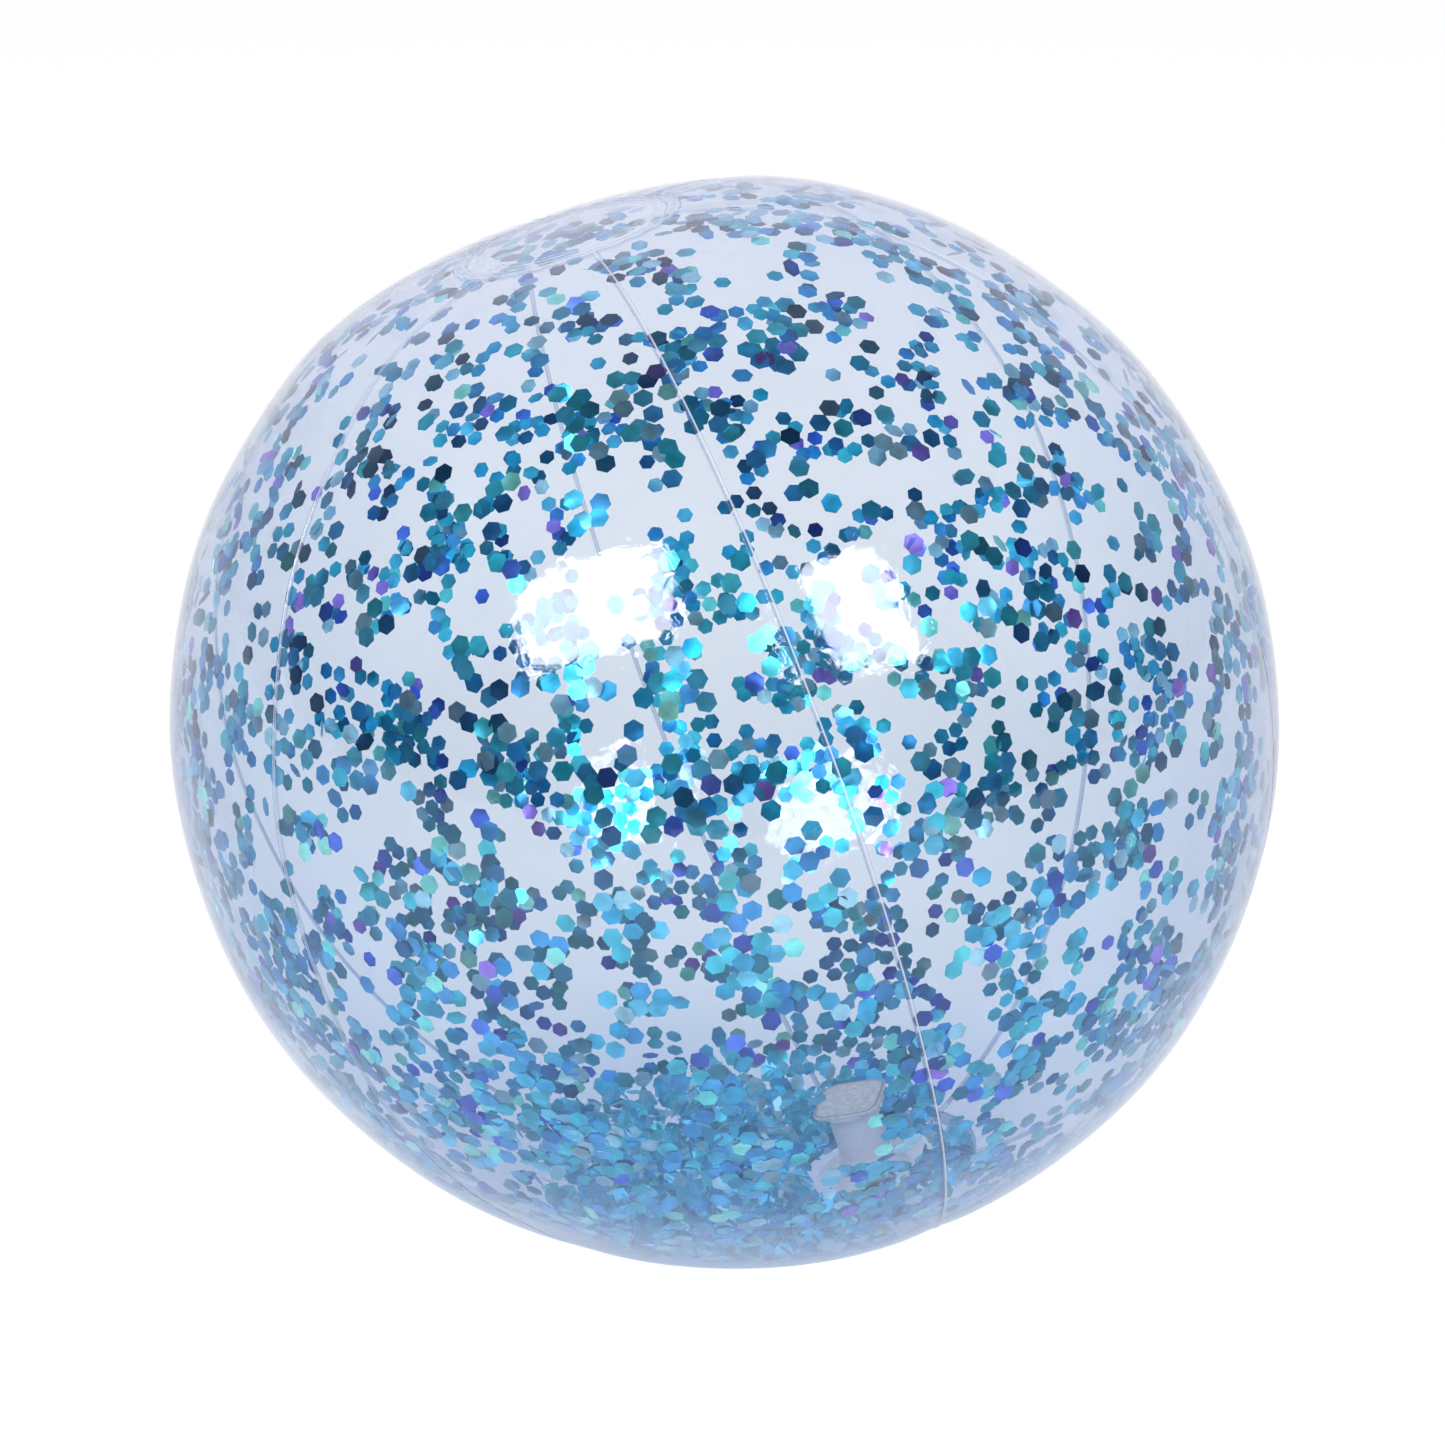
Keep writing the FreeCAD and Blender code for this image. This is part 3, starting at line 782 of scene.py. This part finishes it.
FLAKE_TONES = (
    (0.00, (166, 250, 232)),
    (0.06, (108, 232, 230)),
    (0.08, (44, 178, 202)),
    (0.27, (80, 204, 222)),
    (0.29, (34, 162, 206)),
    (0.50, (78, 192, 228)),
    (0.60, (110, 206, 234)),
    (0.62, (150, 206, 226)),
    (0.72, (168, 216, 232)),
    (0.74, (36, 140, 206)),
    (0.92, (84, 178, 232)),
    (0.93, (60, 104, 216)),
    (0.97, (92, 134, 234)),
    (0.975, (164, 134, 236)),
)
# Painted shade: flakes of little glint are mixed towards this dark blue, standing in for flakes that mirror
# the dark room in front of the ball.
PAINTED_SHADE_FOIL = (0, 36, 84)
VINYL_BORDER = (0.42, 0.43, 0.55, 1)
VINYL_CLEAR = (0.92, 0.93, 0.97, 1)


def flake_material(name, metallic, roughness):
    """Foil in blues and teals, each flake with its own tone and darkened by its glint as painted shade;
    roughness is for no glint and for full.
    """
    material, tree, output = new_material(name)
    stops = [(position, srgb(*colour)) for position, colour in FLAKE_TONES]
    colour = ramp(tree, attribute(tree, "tone"), stops)
    # Painted light and shade: each flake is lighter and darker in patches across it, for the gradient that a
    # bent mirror shows.
    shade = remap(tree, noise(tree, 210, 2), 0.3, 0.7, 0.72, 1.3)
    colour = blend_colours(tree, "MULTIPLY", 1.0, colour, shade)
    # Painted shade: the lower a flake's glint, the more of the dark blue it takes.
    glint = attribute(tree, "glint")
    bright = remap(tree, glint, 0.0, 0.5, 0.05, 1.0)
    colour = blend_colours(tree, "MIX", bright, srgb(*PAINTED_SHADE_FOIL), colour)
    curl = node(tree, "ShaderNodeBump", Strength=0.5, Distance=0.0006, Height=noise(tree, 160, 1))
    foil = node(
        tree,
        "ShaderNodeBsdfPrincipled",
        Base_Color=colour,
        Metallic=metallic,
        Roughness=remap(tree, glint, 0.0, 1.0, *roughness),
        Normal=curl.outputs["Normal"],
    )
    tree.links.new(foil.outputs[0], output.inputs["Surface"])
    return material


def vinyl_material(name, colour, clear, glowing, grain, mottle, border=None):
    """Soft vinyl that lets light through; mottle is how deep its grain is, border names a darker edge."""
    material, tree, output = new_material(name)
    specks = noise(tree, grain, 3)
    darker = tuple((1 - mottle) * channel for channel in colour[:3]) + (1,)
    shown = ramp(tree, specks, ((0.36, darker), (0.64, colour)))
    if border:
        shown = blend_colours(tree, "MIX", attribute(tree, border), shown, VINYL_BORDER)
    bump = node(tree, "ShaderNodeBump", Strength=0.5, Distance=0.0003, Height=specks).outputs["Normal"]
    solid = node(tree, "ShaderNodeBsdfPrincipled", Base_Color=shown, Roughness=0.4, Normal=bump)
    glow = node(tree, "ShaderNodeBsdfTranslucent", Color=shown).outputs[0]
    body = mix_shaders(tree, glowing, solid.outputs[0], glow)
    through = node(tree, "ShaderNodeBsdfTransparent", Color=VINYL_CLEAR).outputs[0]
    tree.links.new(mix_shaders(tree, clear, body, through), output.inputs["Surface"])
    return material


def dress(piece, material):
    """Gives a piece one material in place of any it has."""
    if piece.material_slots:
        for slot in piece.material_slots:
            slot.material = material
    else:
        piece.data.materials.append(material)


# ---------------------------------------------------------------- the valve


def valve_skirt():
    """The thin web between flange and stem, built in its rest shape; on the real valve it rolls inside out
    when the stem is pulled.
    """
    top = BOTTOM_CROWN_RADIUS - math.sqrt(BOTTOM_CROWN_RADIUS**2 - HOLE_RADIUS**2) + FILM
    outer_end = np.array([SKIRT_ROOT[0], top + SKIRT_ROOT[1]])
    inner_end = np.array(SKIRT_TIP)
    shares = np.linspace(0, 1, SKIRT_ROWS)
    web = outer_end + (inner_end - outer_end) * shares[:, None]
    web[:, 0] -= SKIRT_WAIST * np.sin(shares * math.pi)
    outline = np.concatenate([web, (web - [SKIRT_WALL, 0.0])[::-1]])
    columns = SKIRT_COLUMNS
    points = []
    faces = []
    for reach, height in outline:
        for column in range(columns):
            angle = column * 2 * math.pi / columns
            local = np.array([reach * math.cos(angle), reach * math.sin(angle), height - BOTTOM_POLE])
            points.append(CENTRE + STANCE @ local)
    rows = len(outline)
    for row in range(rows):
        here = row * columns
        under = (row + 1) % rows * columns
        for column in range(columns):
            after = (column + 1) % columns
            faces.append((here + column, here + after, under + after, under + column))
    piece = make_object("skirt_web", points, faces, ["valve_skirt"], None)
    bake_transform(piece)
    return piece


def flap_film():
    """The rounded square of frosted film on the stem's inner end: a thick border and a grained face."""
    steps = FLAP_STEPS
    turns = np.arange(steps) * 2 * math.pi / steps
    edge_x = np.sign(np.cos(turns)) * np.abs(np.cos(turns)) ** (2 / FLAP_SQUARENESS)
    edge_y = np.sign(np.sin(turns)) * np.abs(np.sin(turns)) ** (2 / FLAP_SQUARENESS)
    shares = np.concatenate([FLAP_FACE_SHARES, FLAP_BORDER_SHARES])
    border = np.clip(1 - np.abs(shares - FLAP_BORDER_AT) / FLAP_BORDER_REACH, 0, 1) ** 0.5
    x = FLAP_SIZE / 2 * shares[:, None] * edge_x
    y = FLAP_SIZE / 2 * shares[:, None] * edge_y
    on_face = (shares < FLAP_BORDER_SHARES[0])[:, None]
    grain = FLAP_GRAIN * np.sin(x * FLAP_GRAIN_PITCH) * np.sin(y * FLAP_GRAIN_PITCH) * on_face
    top = FLAP_FACE + FLAP_THICKNESS + FLAP_BORDER * border[:, None] + grain
    upper = np.stack([x, y, top + 0 * x], axis=-1)
    lower = np.stack([x, y, FLAP_FACE + 0 * x], axis=-1)
    local = np.concatenate([upper.reshape(-1, 3), lower.reshape(-1, 3)])
    rows = len(shares)
    under = rows * steps
    faces = [tuple(range(steps)), tuple(range(under, under + steps))[::-1]]
    for row in range(rows - 1):
        for column in range(steps):
            after = (column + 1) % steps
            a, b = row * steps + column, row * steps + after
            c, d = a + steps, b + steps
            faces.append((a, c, d, b))
            faces.append((under + a, under + b, under + d, under + c))
    rim = (rows - 1) * steps
    for column in range(steps):
        after = (column + 1) % steps
        faces.append((rim + column, under + rim + column, under + rim + after, rim + after))
    turn = Matrix.Rotation(FLAP_TURN, 3, "Z")
    turned = local @ np.array(turn).T
    turned[:, 2] -= BOTTOM_POLE
    points = turned @ STANCE.T + CENTRE
    on_border = np.tile(np.repeat(border, steps), 2)
    return make_object("flap_film", points, faces, ["check_flap"], "flap", {"border": on_border})


# ---------------------------------------------------------------- surroundings

CAMERA_ELEVATION = math.radians(21)
CAMERA_DISTANCE = 0.812
CAMERA_LENS = 84.9
CAMERA_SHIFT = (-0.002, -0.0014)
SOFTBOX_RADIANCE = 14
# Name, direction from the ball, distance, direction of the width, width and height.
SOFTBOXES = (
    ("left_softbox", (-0.383, -0.677, 0.628), 1.157, (0.916, -0.193, 0.351), 0.52, 0.37),
    ("right_softbox", (0.409, -0.683, 0.605), 1.170, (0.848, 0.530, 0.025), 0.375, 0.375),
)
FLOOR_REACH = 6.0
FLOOR_DROP = 0.2 * MM  # keeps the floor and the ball's flat from sharing a surface


def make_camera():
    """Level with the photograph's view: from the front, a little above."""
    data = bpy.data.cameras.new("camera")
    data.lens = CAMERA_LENS
    data.shift_x, data.shift_y = CAMERA_SHIFT
    data.clip_start = 0.01
    data.clip_end = 50
    camera = bpy.data.objects.new("camera", data)
    bpy.context.scene.collection.objects.link(camera)
    back = Vector((0, -math.cos(CAMERA_ELEVATION), math.sin(CAMERA_ELEVATION)))
    camera.location = Vector(CENTRE) + back * CAMERA_DISTANCE
    camera.rotation_mode = "QUATERNION"
    camera.rotation_quaternion = (-back).to_track_quat("-Z", "Y")
    bpy.context.scene.camera = camera


def softbox(name, direction, distance, along, width, height):
    """A rectangular lamp that faces the ball, its width along the given direction."""
    data = bpy.data.lights.new(name, "AREA")
    data.shape = "RECTANGLE"
    data.size = width
    data.size_y = height
    data.energy = SOFTBOX_RADIANCE * width * height * math.pi
    lamp = bpy.data.objects.new(name, data)
    bpy.context.scene.collection.objects.link(lamp)
    out = Vector(direction).normalized()
    side = (Vector(along) - out * out.dot(Vector(along))).normalized()
    turned = Matrix((side, out.cross(side), out)).transposed()
    lamp.matrix_world = Matrix.Translation(Vector(CENTRE) + out * distance) @ turned.to_4x4()
    lamp.visible_camera = False


ROOM_TINTS = (
    (0.0, (0.05, 0.055, 0.07, 1)),
    (1.0, (0.95, 0.92, 1.0, 1)),
)


def make_world():
    """White to the eye; for everything else a room that is dark in front of the ball and pale behind it."""
    world = bpy.data.worlds.new("studio")
    bpy.context.scene.world = world
    world.use_nodes = True
    tree = world.node_tree
    tree.nodes.clear()
    output = tree.nodes.new("ShaderNodeOutputWorld")
    place = node(tree, "ShaderNodeTexCoord").outputs["Generated"]
    behind = node(tree, "ShaderNodeSeparateXYZ", Vector=place).outputs["Y"]
    colour = ramp(tree, remap(tree, behind, 0.05, 0.75), ROOM_TINTS)
    room = node(tree, "ShaderNodeBackground", Color=colour, Strength=1.0).outputs[0]
    white = node(tree, "ShaderNodeBackground", Color=WHITE, Strength=1.0).outputs[0]
    to_eye = node(tree, "ShaderNodeLightPath").outputs["Is Camera Ray"]
    tree.links.new(mix_shaders(tree, to_eye, room, white), output.inputs["Surface"])


def make_floor():
    """A plain white table that glows, so that it stays pale all over, and is clear from below."""
    mesh = bpy.data.meshes.new("floor")
    corners = [(x * FLOOR_REACH, y * FLOOR_REACH, 0) for x, y in ((-1, -1), (1, -1), (1, 1), (-1, 1))]
    mesh.from_pydata(corners, [], [(0, 1, 2, 3)])
    floor = bpy.data.objects.new("floor", mesh)
    bpy.context.scene.collection.objects.link(floor)
    floor.location.z = -FLOOR_DROP
    material, tree, output = new_material("floor_white")
    matt = node(tree, "ShaderNodeBsdfDiffuse", Color=(0.4, 0.4, 0.4, 1)).outputs[0]
    glow = node(tree, "ShaderNodeEmission", Color=WHITE, Strength=0.86).outputs[0]
    both = node(tree, "ShaderNodeAddShader", _0=matt, _1=glow).outputs[0]
    below = node(tree, "ShaderNodeNewGeometry").outputs["Backfacing"]
    clear = node(tree, "ShaderNodeBsdfTransparent", Color=WHITE).outputs[0]
    tree.links.new(mix_shaders(tree, below, both, clear), output.inputs["Surface"])
    mesh.materials.append(material)


# ---------------------------------------------------------------- everything

make_camera()
make_world()
make_floor()
for described in SOFTBOXES:
    softbox(*described)

film = film_material()
for number in range(PANELS):
    dress(film_panel(number), film)
dress(film_cap("film_top_cap", "top_cap", 1, 0.3 * MM), film)
dress(film_cap("film_bottom_cap", "bottom_cap", -1, HOLE_RADIUS), film)

foil = flake_material("confetti_foil", metallic=0.8, roughness=(0.36, 0.18))
dulled_foil = flake_material("confetti_foil_dulled", metallic=0.45, roughness=(0.55, 0.4))
for piece in all_confetti():
    dress(piece, dulled_foil if piece.name == "confetti_pile" else foil)

vinyl = vinyl_material(
    "valve_vinyl", (0.97, 0.98, 1.0, 1), clear=0.35, glowing=0.4, grain=1300, mottle=0.1
)
flap_vinyl = vinyl_material(
    "frosted_flap", (0.96, 0.98, 1.0, 1), clear=0.12, glowing=0.3, grain=800, mottle=0.25, border="border"
)
dress(valve_skirt(), vinyl)
dress(flap_film(), flap_vinyl)
for name in ("valve_flange", "valve_stem", "valve_plug", "plug_strap"):
    dress(bpy.data.objects[name], vinyl)

scene = bpy.context.scene
scene.view_settings.view_transform = "Standard"
scene.cycles.transparent_max_bounces = 32
